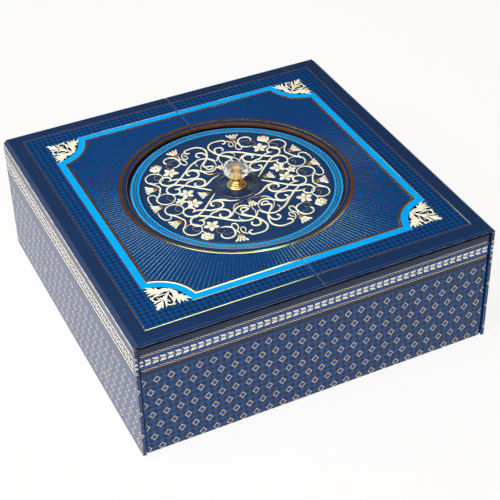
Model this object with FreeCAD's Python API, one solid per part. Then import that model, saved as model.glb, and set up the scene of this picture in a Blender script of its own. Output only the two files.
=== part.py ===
import FreeCAD, Part
import math
import os

# A rigid paperboard gift box: two top doors on paper hinges, with a round lift-off lid between them.
# Millimetres. The origin is the middle of the underside, +Z is up and the front is towards -Y.

# Overall size
BOX_WIDTH = 283.0
BOX_DEPTH = 278.0
BOX_HEIGHT = 102.0

# Stock: board and the paper glued to it
BOARD = 2.2
PAPER = 0.3
BOARD_ROUND = 0.5
TOUCH = 0.001

# Paper hinge and the joints between panels
HINGE_RUN = 3.5
HINGE_RISE = 3.3
HINGE_PAPER = 0.44
SEAM = 0.6
SIDE_TOP_GAP = 0.9
TRAY_GAP = 0.9
FRONT_SET_BACK = 1.2
WALL_TOP_GAP = 2.5

# Lid, its gap to the round hole in the doors, its ledge on the shelf and the fit of the plug under it
LID_R = 81.3
LID_CLEARANCE = 2.5
LID_DROP = 3.0
LID_LEDGE = 5.8
PLUG_FIT = 0.5

# Shelf under the doors and the compartment under the lid
WELL_WALL = 1.2
WELL_SET_OUT = 0.3
REST_INSET = 8.0
REST_WIDTH = 6.0
REST_END_GAP = 4.0

# Knob: tiered base, neck, collar, post, crystal, screw and washer
BASE_FOOT_R = 7.5
BASE_LAST_R = 4.6
BASE_TIERS_H = 4.8
BASE_TIERS = 4
TIER_ROUND = 0.45
NECK_R = 3.4
NECK_H = 2.2
COLLAR_H = 1.4
COLLAR_TOP_R = 4.9
POST_R = 2.4
POST_SINK = 1.0
POST_RISE = 6.2
POST_TIP_R = 1.4
CRYSTAL_FIT = 0.2
CRYSTAL_FOOT_R = 4.4
CRYSTAL_LOW_R = 8.5
CRYSTAL_LOW_H = 2.4
CRYSTAL_GIRDLE_R = 10.4
CRYSTAL_GIRDLE_H = 5.2
CRYSTAL_GIRDLE_TOP_H = 6.1
CRYSTAL_CROWN_R = 9.6
CRYSTAL_CROWN_H = 7.6
CRYSTAL_TABLE_R = 8.3
CRYSTAL_H = 8.6
CRYSTAL_SIDES = 10
SCREW_R = 2.0
SCREW_FIT = 0.3
SCREW_DEPTH = 3.6
SCREW_HEAD_R = 3.8
SCREW_HEAD_H = 2.2
WASHER_R = 6.0
WASHER_T = 0.8

# Sizes that follow from the ones above
PANEL = PAPER + BOARD + PAPER
WRAP_ROUND = BOARD_ROUND + PAPER
HALF_W = BOX_WIDTH / 2
HALF_D = BOX_DEPTH / 2
DOOR_SIDE = HALF_W - HINGE_RUN
FOLD_Z = BOX_HEIGHT - HINGE_RISE
DOOR_BOTTOM = BOX_HEIGHT - PANEL
SIDE_TOP = DOOR_BOTTOM - SIDE_TOP_GAP
SIDE_INNER = HALF_W - PANEL
TRAY_HALF_W = SIDE_INNER - TRAY_GAP
TRAY_HALF_D = HALF_D - FRONT_SET_BACK
TRAY_INNER_W = TRAY_HALF_W - BOARD
TRAY_INNER_D = TRAY_HALF_D - PAPER - BOARD
WALL_TOP = DOOR_BOTTOM - WALL_TOP_GAP
BASE_TOP = PAPER + BOARD
FLOOR_TOP = BASE_TOP + PAPER
HOLE_R = LID_R + LID_CLEARANCE
PLUG_R = LID_R - LID_LEDGE
LID_TOP = BOX_HEIGHT - LID_DROP
LID_BOTTOM = LID_TOP - PANEL
DECK_BOARD_TOP = LID_BOTTOM - PAPER
DECK_BOTTOM = DECK_BOARD_TOP - BOARD
DECK_HOLE_R = PLUG_R + PLUG_FIT
CUT_R = HOLE_R + PAPER
SCREW_HOLE_R = SCREW_R + SCREW_FIT
PLUG_BOTTOM = LID_BOTTOM - BOARD
KNOB_COLLAR_Z = LID_TOP + BASE_TIERS_H + NECK_H
KNOB_CRYSTAL_Z = KNOB_COLLAR_Z + COLLAR_H

UP = FreeCAD.Vector(0, 0, 1)
RIGHT = FreeCAD.Vector(1, 0, 0)
ORIGIN = FreeCAD.Vector(0, 0, 0)


def save(name, shape):
    shape.exportStep(os.path.join("parts", name + ".step"))


def block(x0, x1, y0, y1, z0, z1):
    return Part.makeBox(x1 - x0, y1 - y0, z1 - z0, FreeCAD.Vector(x0, y0, z0))


def drum(radius, z0, z1):
    return Part.makeCylinder(radius, z1 - z0, FreeCAD.Vector(0, 0, z0), UP)


def mirrored(shape):
    return shape.mirror(ORIGIN, RIGHT)


def turned(outline):
    # A solid of revolution from (radius, height) points.
    points = [FreeCAD.Vector(r, 0, z) for r, z in outline]
    face = Part.Face(Part.makePolygon(points + points[:1]))
    return face.revolve(ORIGIN, UP, 360)


def near(a, b):
    return abs(a - b) < TOUCH


def rounded(shape, radius, wanted):
    edges = [edge for edge in shape.Edges if wanted(edge.CenterOfMass)]
    return shape.makeFillet(radius, edges)


# Bottom of the case
os.makedirs("parts", exist_ok=True)
save("base_paper", block(-SIDE_INNER, SIDE_INNER, -TRAY_INNER_D, TRAY_INNER_D, 0, PAPER))
save("base_board", block(-SIDE_INNER, SIDE_INNER, -TRAY_INNER_D, TRAY_INNER_D, PAPER, BASE_TOP))
save("floor_paper", block(-TRAY_INNER_W, TRAY_INNER_W, -TRAY_INNER_D, TRAY_INNER_D, BASE_TOP, FLOOR_TOP))


# Front and back walls of the tray: a board, and paper turned over its top, ends and lower edge
def tray_wall(margin, inner_y):
    half_w = TRAY_HALF_W - margin
    front = -TRAY_HALF_D + margin
    top = WALL_TOP - margin
    wall = block(-half_w, half_w, front, inner_y, margin, top)

    def outer_edge(middle):
        return near(middle.y, front) and not near(middle.z, margin)

    return rounded(wall, WRAP_ROUND - margin, outer_edge)


front_wall = tray_wall(PAPER, -TRAY_INNER_D)
front_wrap = tray_wall(0, -TRAY_INNER_D).cut(front_wall)
half_turn = FreeCAD.Rotation(UP, 180)
for name, shape in (("wall", front_wall), ("wrap", front_wrap)):
    save("front_" + name, shape)
    other = shape.copy()
    other.Placement = FreeCAD.Placement(ORIGIN, half_turn)
    save("back_" + name, other)

# Side walls of the tray
tray_side = block(-TRAY_HALF_W, -TRAY_INNER_W, -TRAY_INNER_D, TRAY_INNER_D, BASE_TOP, WALL_TOP)
save("tray_left_wall", tray_side)
save("tray_right_wall", mirrored(tray_side))


# Side boards of the case: paper all round, and an outer sheet that runs up to the hinge's fold
def side_panel(margin):
    outer_x = -HALF_W + margin
    inner_x = -SIDE_INNER - margin
    half_d = HALF_D - margin
    panel = block(outer_x, inner_x, -half_d, half_d, margin, SIDE_TOP - margin)

    def outer_edge(middle):
        return near(middle.x, outer_x) and near(abs(middle.y), half_d)

    return rounded(panel, WRAP_ROUND - margin, outer_edge)


side_board = side_panel(PAPER)
hinge_tail = block(-HALF_W, -HALF_W + PAPER, WRAP_ROUND - HALF_D, HALF_D - WRAP_ROUND, SIDE_TOP, FOLD_Z)
side_wrap = side_panel(0).cut(side_board).fuse(hinge_tail).removeSplitter()
save("left_side_board", side_board)
save("right_side_board", mirrored(side_board))
save("left_side_wrap", side_wrap)
save("right_side_wrap", mirrored(side_wrap))

# Shelf that the lid rests on, its risers and the strips that carry the closed doors
deck_hole = drum(DECK_HOLE_R, 0, BOX_HEIGHT)
deck = block(-TRAY_INNER_W, TRAY_INNER_W, -TRAY_INNER_D, TRAY_INNER_D, DECK_BOTTOM, DECK_BOARD_TOP)
sheet = block(-TRAY_INNER_W, TRAY_INNER_W, -TRAY_INNER_D, TRAY_INNER_D, DECK_BOARD_TOP, LID_BOTTOM)
save("deck_board", deck.cut(deck_hole))
save("deck_paper", sheet.cut(deck_hole))
riser_in_d = TRAY_INNER_D - BOARD
riser_in_w = TRAY_INNER_W - BOARD
rest_half = TRAY_INNER_W - REST_END_GAP
rest_out_d = TRAY_INNER_D - REST_INSET
rest_in_d = rest_out_d - REST_WIDTH
front_riser = block(-TRAY_INNER_W, TRAY_INNER_W, -TRAY_INNER_D, -riser_in_d, FLOOR_TOP, DECK_BOTTOM)
front_rest = block(-rest_half, rest_half, -rest_out_d, -rest_in_d, LID_BOTTOM, DOOR_BOTTOM)
left_riser = block(-TRAY_INNER_W, -riser_in_w, -riser_in_d, riser_in_d, FLOOR_TOP, DECK_BOTTOM)
for name, shape in (("riser", front_riser), ("rest", front_rest)):
    save("front_" + name, shape)
    save("back_" + name, shape.mirror(ORIGIN, FreeCAD.Vector(0, 1, 0)))
save("left_riser", left_riser)
save("right_riser", mirrored(left_riser))

# Round wall of the compartment under the lid
well_in = DECK_HOLE_R + WELL_SET_OUT
well = drum(well_in + WELL_WALL, FLOOR_TOP, DECK_BOTTOM)
save("well_wall", well.cut(drum(well_in, FLOOR_TOP, DECK_BOTTOM)))


# Doors: board, paper turned over the edges, lining paper, foil edging of the cut-out and paper hinge
def door_slab(margin, bottom):
    seam_x = -SEAM / 2 - margin
    half_d = HALF_D - margin
    top = BOX_HEIGHT - margin
    slab = block(-DOOR_SIDE, seam_x, -half_d, half_d, bottom, top)

    def free_edge(middle):
        return near(middle.z, top) and not near(middle.x, -DOOR_SIDE)

    return rounded(slab, WRAP_ROUND - margin, free_edge)


cut_out = drum(CUT_R, 0, BOX_HEIGHT)
door_board_bottom = DOOR_BOTTOM + PAPER
door_board = door_slab(PAPER, door_board_bottom)
door_wrap = door_slab(0, door_board_bottom).cut(door_board)
liner = block(-DOOR_SIDE, -SEAM / 2, -HALF_D, HALF_D, DOOR_BOTTOM, door_board_bottom)
ring = drum(CUT_R, DOOR_BOTTOM, BOX_HEIGHT).cut(drum(HOLE_R, DOOR_BOTTOM, BOX_HEIGHT))
left_half = block(-CUT_R, -SEAM / 2, -CUT_R, CUT_R, DOOR_BOTTOM, BOX_HEIGHT)
tail_x = HINGE_PAPER * HINGE_RUN / HINGE_RISE
strip_outline = [
    FreeCAD.Vector(-HALF_W, -HALF_D, FOLD_Z),
    FreeCAD.Vector(-DOOR_SIDE, -HALF_D, BOX_HEIGHT),
    FreeCAD.Vector(-DOOR_SIDE, -HALF_D, BOX_HEIGHT - HINGE_PAPER),
    FreeCAD.Vector(-HALF_W + tail_x, -HALF_D, FOLD_Z),
]
strip_face = Part.Face(Part.makePolygon(strip_outline + strip_outline[:1]))
door_parts = {
    "door_board": door_board.cut(cut_out),
    "door_wrap": door_wrap.cut(cut_out),
    "door_liner": liner.cut(cut_out),
    "cutout_edging": ring.common(left_half),
    "hinge_strip": strip_face.extrude(FreeCAD.Vector(0, BOX_DEPTH, 0)),
}
for name, shape in door_parts.items():
    save("left_" + name, shape)
    save("right_" + name, mirrored(shape))

# Round lid: lining paper, board, printed paper over the top and edge, and the plug that centres it
screw_hole = drum(SCREW_HOLE_R, 0, BOX_HEIGHT)


def lid_disc(margin):
    top = LID_TOP - margin
    disc = drum(LID_R - margin, LID_BOTTOM + PAPER, top)

    def rim(middle):
        return near(middle.z, top)

    return rounded(disc, WRAP_ROUND - margin, rim)


lid_board = lid_disc(PAPER)
lid_wrap = lid_disc(0).cut(lid_board)
save("lid_board", lid_board.cut(screw_hole))
save("lid_wrap", lid_wrap.cut(screw_hole))
save("lid_liner", drum(LID_R, LID_BOTTOM, LID_BOTTOM + PAPER).cut(screw_hole))
save("lid_plug", drum(PLUG_R, PLUG_BOTTOM, LID_BOTTOM).cut(screw_hole))

# Knob: tiered brass base and neck, with a hole for the screw below and one for the post above
tier_h = BASE_TIERS_H / BASE_TIERS
tier_r = (BASE_FOOT_R - BASE_LAST_R) / (BASE_TIERS - 1)
knob_base = drum(NECK_R, LID_TOP, KNOB_COLLAR_Z)
for k in range(BASE_TIERS):
    tier_top = LID_TOP + (k + 1) * tier_h
    tier = drum(BASE_FOOT_R - k * tier_r, LID_TOP, tier_top)

    def rim_of_tier(middle):
        return near(middle.z, tier_top)

    knob_base = knob_base.fuse(rounded(tier, TIER_ROUND, rim_of_tier))
post_foot = KNOB_COLLAR_Z - POST_SINK
screw_tip = LID_TOP + SCREW_DEPTH
knob_base = knob_base.removeSplitter().cut(drum(SCREW_R, LID_TOP, screw_tip))
save("knob_base", knob_base.cut(drum(POST_R, post_foot, KNOB_COLLAR_Z)))

collar_outline = [
    (POST_R, KNOB_COLLAR_Z),
    (NECK_R, KNOB_COLLAR_Z),
    (COLLAR_TOP_R, KNOB_CRYSTAL_Z),
    (POST_R, KNOB_CRYSTAL_Z),
]
save("knob_collar", turned(collar_outline))

post_top = KNOB_CRYSTAL_Z + POST_RISE
post_outline = [
    (0, post_foot),
    (POST_R, post_foot),
    (POST_R, post_top - POST_R + POST_TIP_R),
    (POST_TIP_R, post_top),
    (0, post_top),
]
save("knob_post", turned(post_outline))


# Cut crystal: rings of corners, every second ring turned by half a side, joined by flat facets
def corner_ring(radius, height, shift):
    corners = []
    for k in range(CRYSTAL_SIDES):
        angle = 2 * math.pi * (k + shift) / CRYSTAL_SIDES
        x = radius * math.cos(angle)
        y = radius * math.sin(angle)
        corners.append(FreeCAD.Vector(x, y, KNOB_CRYSTAL_Z + height))
    return corners


def facet(corners):
    return Part.Face(Part.makePolygon(corners + corners[:1]))


def facet_band(low, high, step):
    # Triangles between two rings, the upper one turned by half a side; step is 0 or 1.
    faces = []
    for k in range(CRYSTAL_SIDES):
        n = (k + 1) % CRYSTAL_SIDES
        m = (k + step) % CRYSTAL_SIDES
        p = (k + step - 1) % CRYSTAL_SIDES
        faces.append(facet([low[k], low[n], high[m]]))
        faces.append(facet([low[k], high[m], high[p]]))
    return faces


foot = corner_ring(CRYSTAL_FOOT_R, 0, 0)
low = corner_ring(CRYSTAL_LOW_R, CRYSTAL_LOW_H, 0.5)
girdle = corner_ring(CRYSTAL_GIRDLE_R, CRYSTAL_GIRDLE_H, 1)
girdle_top = corner_ring(CRYSTAL_GIRDLE_R, CRYSTAL_GIRDLE_TOP_H, 1)
crown = corner_ring(CRYSTAL_CROWN_R, CRYSTAL_CROWN_H, 1.5)
table = corner_ring(CRYSTAL_TABLE_R, CRYSTAL_H, 2)
facets = [facet(foot), facet(table)]
facets += facet_band(foot, low, 0)
facets += facet_band(low, girdle, 0)
facets += facet_band(girdle_top, crown, 0)
facets += facet_band(crown, table, 0)
for k in range(CRYSTAL_SIDES):
    n = (k + 1) % CRYSTAL_SIDES
    facets.append(facet([girdle[k], girdle[n], girdle_top[n], girdle_top[k]]))
crystal = Part.Solid(Part.Shell(facets))
bore = drum(POST_R + CRYSTAL_FIT, KNOB_CRYSTAL_Z, post_top + CRYSTAL_FIT)
save("knob_crystal", crystal.cut(bore))

# Screw and washer under the lid
washer_z = PLUG_BOTTOM - WASHER_T
head_z = washer_z - SCREW_HEAD_H
washer = drum(WASHER_R, washer_z, PLUG_BOTTOM).cut(screw_hole)
save("knob_washer", washer)
save("knob_screw", drum(SCREW_HEAD_R, head_z, washer_z).fuse(drum(SCREW_R, washer_z, screw_tip)))
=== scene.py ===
import math

import bpy
import numpy as np
from mathutils import Matrix, Vector


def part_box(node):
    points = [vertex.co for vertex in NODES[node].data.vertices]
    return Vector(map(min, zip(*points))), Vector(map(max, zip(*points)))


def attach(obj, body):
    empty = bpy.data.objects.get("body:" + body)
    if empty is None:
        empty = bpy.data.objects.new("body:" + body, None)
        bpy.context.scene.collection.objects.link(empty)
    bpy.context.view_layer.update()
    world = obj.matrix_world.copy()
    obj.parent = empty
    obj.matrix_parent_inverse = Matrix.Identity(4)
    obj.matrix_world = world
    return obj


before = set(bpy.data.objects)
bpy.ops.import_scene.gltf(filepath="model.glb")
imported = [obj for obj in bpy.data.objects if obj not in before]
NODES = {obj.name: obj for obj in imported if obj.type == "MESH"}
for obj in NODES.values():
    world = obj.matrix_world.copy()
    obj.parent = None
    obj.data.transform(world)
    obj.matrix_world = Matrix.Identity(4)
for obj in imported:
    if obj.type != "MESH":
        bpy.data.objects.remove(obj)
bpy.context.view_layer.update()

# Lengths of the print are in millimetres and become metres when a mesh is made
MM = 0.001

# Planes of the box, read from the frame
TOP_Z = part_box("left_door_wrap")[1].z / MM
DOOR_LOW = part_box("left_door_wrap")[0].z / MM
LID_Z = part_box("lid_wrap")[1].z / MM
LID_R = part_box("lid_wrap")[1].x / MM
FRONT_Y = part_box("front_wrap")[0].y / MM
WALL_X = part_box("front_wrap")[1].x / MM
WALL_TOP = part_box("front_wrap")[1].z / MM
SIDE_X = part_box("right_side_wrap")[1].x / MM
SIDE_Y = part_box("right_side_wrap")[1].y / MM
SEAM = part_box("right_door_wrap")[0].x / MM
STRIP = (SIDE_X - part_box("right_side_board")[0].x / MM) / 2
STRIP_X = SIDE_X - STRIP

# Sizes of the CAD shapes that the boxes above don't give
HOLE_R = 83.8
TIERS = 4
TIER_H = 1.2

# Sizes of the print
PRINT_Y = 0.8
DOOR_EDGE = SEAM + 0.3
SQUARE = 128.0
BORDER_OUT = 113.7
BORDER_IN = 108.2
NOTCH_IN = 26.0
NOTCH_OUT = 31.5
INNER_LINE = 2.0
RING_IN = 87.2
RING_OUT = 89.7
RAYS = 236
TOP_PITCH = 4.157
WALL_PITCH = 5.2625
WALL_ROW = 5.25
WALL_FIRST = 3.1
SIDE_FIRST = 8.5
BAND_TOP = 71.8
ROPE_HIGH = 90.0
ROPE_LOW = 77.2
CHAIN_Z = 83.65
CHAIN_PITCH = 5.54
CHAIN_MIDDLE = -6.9
CHAIN_GAP = 6.0
LID_FIELD_R = 74.6
LID_SKY_LINES = ((74.7, 75.9), (79.6, 81.4))
LID_CENTRE_R = 16.3
FOLD_Z = 98.0
SIDE_HALF = SIDE_Y - 0.8
OUTER_GAP = 0.3
OUTER_STOP = 0.6
NOTCH_EDGE = 2.6
FIELD_GLOW = (86.0, 150.0)
RIM_DROP = 0.76
BEAD_INSET = 0.16
RAY_GAP = 0.5
PRINT_INSET = 0.25
PETALS = 5
PLAITS = 126
PLAIT_R = 77.72
PLAIT_SWAY = 0.95
GLINTS = 44
GLINT_IN = 8.4
GLINT_OUT = 15.4

# Foil lines as (width, height), and the height of pads
SQUARE_LINE = (0.9, 0.04)
BORDER_LINE = (INNER_LINE, 0.08)
OUTER_LINE = (0.62, 0.037)
RING_LINE = (RING_OUT - RING_IN, 0.05)
CUTOUT_BEAD = (0.36, 0.62)
DOOR_RAY = (0.30, 0.032)
GLINT = (0.26, 0.025)
PLAIT_LINE = (0.40, 0.05)
FRONT_DIAMOND = (0.36, 0.055)
SIDE_DIAMOND = (0.48, 0.055)
EDGE_DIAMOND = (0.44, 0.05)
EDGE_ROPE = (0.5, 0.1)
ROSE_FOLD = (0.62, 0.60)
LID_RING_H = 0.05
TENDRIL_H = 0.12
ROPE_H = 0.12
VEIN_H = 0.06
CHAIN_H = 0.24
EDGE_CHAIN_H = 0.2
FLOWER_H = 0.42
BUTTON_H = 0.55
FLUTE_H = 0.46
CUP_H = 0.62

# Points of a curve: on a half circle, a notch and a full ring, and the step between them in millimetres
HALF_POINTS = 150
NOTCH_POINTS = 22
RING_POINTS = 240
PLAIT_POINTS = 10
COARSE = 0.55
MEDIUM = 0.5
FINE = 0.4

# How far relief reaches down into the paper
SINK = 0.04


# Node materials
def srgb(r, g, b):
    def lin(c):
        c /= 255.0
        return c / 12.92 if c <= 0.04045 else ((c + 0.055) / 1.055) ** 2.4

    return (lin(r), lin(g), lin(b), 1.0)


class Nodes:
    """A node tree with short calls for the nodes used here."""

    def __init__(self, tree):
        self.tree = tree

    def add(self, kind, **settings):
        node = self.tree.nodes.new(kind)
        for key, value in settings.items():
            setattr(node, key, value)
        return node

    def feed(self, socket, value):
        if hasattr(value, "is_output"):
            self.tree.links.new(value, socket)
        else:
            socket.default_value = value

    def math(self, operation, a, b=None):
        node = self.add("ShaderNodeMath", operation=operation)
        for socket, value in zip(node.inputs, (a, b)):
            if value is not None:
                self.feed(socket, value)
        return node.outputs[0]

    def times(self, a, b):
        return self.math("MULTIPLY", a, b)

    def plus(self, a, b):
        return self.math("ADD", a, b)

    def minus(self, a, b):
        return self.math("SUBTRACT", a, b)

    def most(self, a, b):
        return self.math("MAXIMUM", a, b)

    def mix(self, factor, a, b, blend="MIX"):
        node = self.add("ShaderNodeMix", data_type="RGBA", blend_type=blend)
        self.feed(node.inputs[0], factor)
        self.feed(node.inputs[6], a)
        self.feed(node.inputs[7], b)
        return node.outputs[2]

    def ramp(self, value, low, high, to_low=0.0, to_high=1.0, **settings):
        node = self.add("ShaderNodeMapRange", clamp=True, **settings)
        self.feed(node.inputs[0], value)
        for k, number in enumerate((low, high, to_low, to_high)):
            node.inputs[k + 1].default_value = number
        return node.outputs[0]

    def rays(self, first, *others):
        """1 for light rays of any of these kinds, 0 for the rest."""
        path = self.add("ShaderNodeLightPath")
        value = path.outputs[first]
        for name in others:
            value = self.most(value, path.outputs[name])
        return value


class Graph(Nodes):
    """The node tree of a material on an object's own coordinates, given in millimetres where split."""

    def __init__(self, name):
        self.material = bpy.data.materials.new(name)
        self.material.use_nodes = True
        super().__init__(self.material.node_tree)
        self.shader = self.tree.nodes["Principled BSDF"]
        self.coord = self.add("ShaderNodeTexCoord").outputs["Object"]

    def set(self, name, value):
        self.feed(self.shader.inputs[name], value)

    def axes(self):
        node = self.add("ShaderNodeSeparateXYZ")
        self.feed(node.inputs[0], self.coord)
        return [self.times(node.outputs[k], 1 / MM) for k in range(3)]

    def scaled(self, x, y, z):
        node = self.add("ShaderNodeVectorMath", operation="MULTIPLY")
        self.feed(node.inputs[0], self.coord)
        node.inputs[1].default_value = (x, y, z)
        return node.outputs[0]

    def noise(self, scale, detail=3.0, roughness=0.55, vector=None):
        node = self.add("ShaderNodeTexNoise")
        self.feed(node.inputs["Vector"], self.coord if vector is None else vector)
        node.inputs["Scale"].default_value = scale
        node.inputs["Detail"].default_value = detail
        node.inputs["Roughness"].default_value = roughness
        return node.outputs["Fac"]

    def above(self, value, limit, soft=0.03):
        return self.ramp(value, limit - soft, limit + soft)

    def below(self, value, limit, soft=0.03):
        return self.ramp(value, limit - soft, limit + soft, 1.0, 0.0)

    def between(self, value, low, high):
        return self.times(self.above(value, low), self.below(value, high))

    def length(self, a, b):
        return self.math("SQRT", self.plus(self.times(a, a), self.times(b, b)))

    def wobble(self):
        """A small uneven shift in millimetres, so that printed edges don't look ruled."""
        return self.times(self.minus(self.noise(scale=900.0, detail=2.0), 0.5), 0.35)

    def bump(self, height, strength, distance=0.0001, normal=None):
        node = self.add("ShaderNodeBump")
        node.inputs["Strength"].default_value = strength
        node.inputs["Distance"].default_value = distance
        self.feed(node.inputs["Height"], height)
        if normal is not None:
            self.feed(node.inputs["Normal"], normal)
        return node.outputs[0]

    def checker(self, a, b, pitch_a, pitch_b):
        """1 on diamonds centred at whole pitches, 0 on those between them."""
        u = self.math("DIVIDE", a, pitch_a)
        v = self.math("DIVIDE", b, pitch_b)
        p = self.math("FLOOR", self.plus(self.plus(u, v), 0.5))
        m = self.math("FLOOR", self.plus(self.minus(u, v), 0.5))
        odd = self.math("FLOORED_MODULO", self.plus(p, m), 2.0)
        return self.minus(1.0, odd)


NAVY = srgb(25, 50, 89)
DEEP = srgb(13, 31, 68)
ROYAL = srgb(0, 64, 128)
SKY = srgb(0, 167, 252)
CHECK_DARK = srgb(24, 42, 74)
CHECK_BLUE = srgb(0, 72, 140)
BAND = srgb(24, 42, 76)
PALE = srgb(150, 160, 180)
WORN = srgb(222, 227, 232)
FIELD_FAR = srgb(0, 62, 122)
# Lighter blue painted highlight for the doors' top front and back edges
PAINTED_EDGE_HIGHLIGHT = srgb(44, 84, 150)
LID_GROUND = srgb(14, 54, 100)
LID_RIM = srgb(0, 142, 208)
LID_CENTRE = srgb(16, 42, 84)
# Near-black painted shadow for the walls' top edge, which lies in shade under the doors' overhang
PAINTED_GAP_SHADOW = srgb(2, 5, 18)


def paper_finish(g, colour, wear, rough=0.46, gloss_level=0.12):
    """Satin print on wrapped paper: mottled ink, dust specks, worn edges (with any painted highlight passed
    in along with the wear), fibre bump and uneven gloss.
    """
    mottle = g.noise(scale=420.0, detail=4.0)
    cloud = g.noise(scale=22.0, detail=2.0)
    shade = g.ramp(mottle, 0.3, 0.7, 0.93, 1.07)
    tone = g.ramp(cloud, 0.3, 0.7, 0.95, 1.05)
    both = g.times(shade, tone)
    grey = g.add("ShaderNodeCombineColor")
    for k in range(3):
        g.feed(grey.inputs[k], both)
    colour = g.mix(1.0, colour, grey.outputs[0], "MULTIPLY")
    dust = g.add("ShaderNodeTexVoronoi")
    g.feed(dust.inputs["Vector"], g.coord)
    dust.inputs["Scale"].default_value = 46.0
    chosen = g.add("ShaderNodeSeparateColor")
    g.feed(chosen.inputs[0], dust.outputs["Color"])
    size = g.ramp(chosen.outputs[0], 0.72, 1.0, 0.0, 0.017)
    speck = g.math("LESS_THAN", dust.outputs["Distance"], size)
    colour = g.mix(g.times(speck, 0.55), colour, PALE)
    scrape = g.noise(scale=60.0, detail=5.0, roughness=0.65, vector=g.scaled(1.0, 0.16, 1.0))
    scuff = g.times(g.ramp(scrape, 0.66, 0.80), 0.16)
    colour = g.mix(scuff, colour, PALE)
    worn = g.times(wear, g.ramp(g.noise(scale=170.0, detail=4.0), 0.30, 0.62))
    colour = g.mix(worn, colour, WORN)
    fibre = g.plus(g.noise(scale=2600.0, detail=3.0), g.times(g.noise(scale=240.0, detail=2.0), 0.7))
    g.set("Base Color", colour)
    g.set("Normal", g.bump(fibre, strength=0.10, distance=0.00022))
    gloss = g.ramp(g.plus(cloud, mottle), 0.6, 1.4, rough - 0.04, rough + 0.04)
    g.set("Roughness", g.plus(gloss, g.times(scuff, 0.9)))
    g.set("IOR", 1.5)
    g.set("Specular IOR Level", gloss_level)


def top_material(name, gloss_level):
    g = Graph(name)
    x, y, z = g.axes()
    wave = g.wobble()
    px = g.plus(x, wave)
    py = g.plus(g.minus(y, PRINT_Y), wave)
    ax = g.math("ABSOLUTE", px)
    ay = g.math("ABSOLUTE", py)
    far = g.most(ax, ay)
    checker = g.checker(px, py, TOP_PITCH, TOP_PITCH)
    colour = g.mix(checker, CHECK_BLUE, CHECK_DARK)
    colour = g.mix(g.above(far, SQUARE), colour, NAVY)
    dx = g.minus(BORDER_OUT, ax)
    dy = g.minus(BORDER_OUT, ay)
    corner = g.length(dx, dy)
    inside = g.below(far, BORDER_OUT)
    outside_notch = g.times(inside, g.above(corner, NOTCH_IN))
    deep = g.times(inside, g.times(g.above(dx, NOTCH_EDGE), g.above(dy, NOTCH_EDGE)))
    colour = g.mix(g.times(deep, g.below(corner, NOTCH_IN + 1.0)), colour, DEEP)
    colour = g.mix(outside_notch, colour, SKY)
    field = g.times(g.below(far, BORDER_IN), g.above(corner, NOTCH_OUT))
    radius = g.length(px, py)
    glow = g.ramp(radius, *FIELD_GLOW)
    colour = g.mix(field, colour, g.mix(glow, ROYAL, FIELD_FAR))
    colour = g.mix(g.below(radius, RING_OUT - 0.6), colour, NAVY)
    ay_box = g.math("ABSOLUTE", y)
    ax_box = g.math("ABSOLUTE", x)
    high = g.above(z, TOP_Z - 0.5, 0.3)
    front = g.above(ay_box, SIDE_Y - 0.7, 0.35)
    # Painted highlight: the top of the doors' front and back edges is lighter blue
    colour = g.mix(g.times(g.times(front, high), 0.6), colour, PAINTED_EDGE_HIGHLIGHT)
    edge_low = g.times(g.times(front, g.below(z, DOOR_LOW + 0.45, 0.25)), 0.26)
    # Wear and painted highlight: the top of each door's seam edge turns lighter, standing in for light
    # caught by the edge
    seam_wear_and_highlight = g.times(g.times(g.below(ax_box, DOOR_EDGE, 0.2), high), 0.3)
    edge_fold = g.ramp(g.minus(SIDE_X, ax_box), 0.1, 0.6, 1.0, 0.0)
    colour = g.mix(g.times(edge_fold, 0.5), colour, WORN)
    # The wear mask here also carries the painted highlight along the seam
    wear = g.most(g.most(edge_low, seam_wear_and_highlight), edge_fold)
    paper_finish(g, colour, wear, gloss_level=gloss_level)
    return g.material


def lid_material():
    g = Graph("printed_paper_lid")
    x, y, z = g.axes()
    radius = g.length(x, y)
    colour = g.mix(g.above(radius, LID_FIELD_R), LID_GROUND, LID_RIM)
    inner, outer = (g.between(radius, low, high) for low, high in LID_SKY_LINES)
    colour = g.mix(g.plus(inner, outer), colour, SKY)
    colour = g.mix(g.below(radius, LID_CENTRE_R), colour, LID_CENTRE)
    edge = g.above(radius, LID_R - 0.4, 0.2)
    colour = g.mix(g.below(z, LID_Z - 0.3), colour, NAVY)
    paper_finish(g, colour, g.times(edge, 0.35))
    return g.material


# Rubbed spots on the left panel as (y, z, half width)
SCUFFS = ((-100.0, 62.0, 1.6), (-70.0, 22.0, 2.2), (62.0, 24.0, 2.4))


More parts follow.
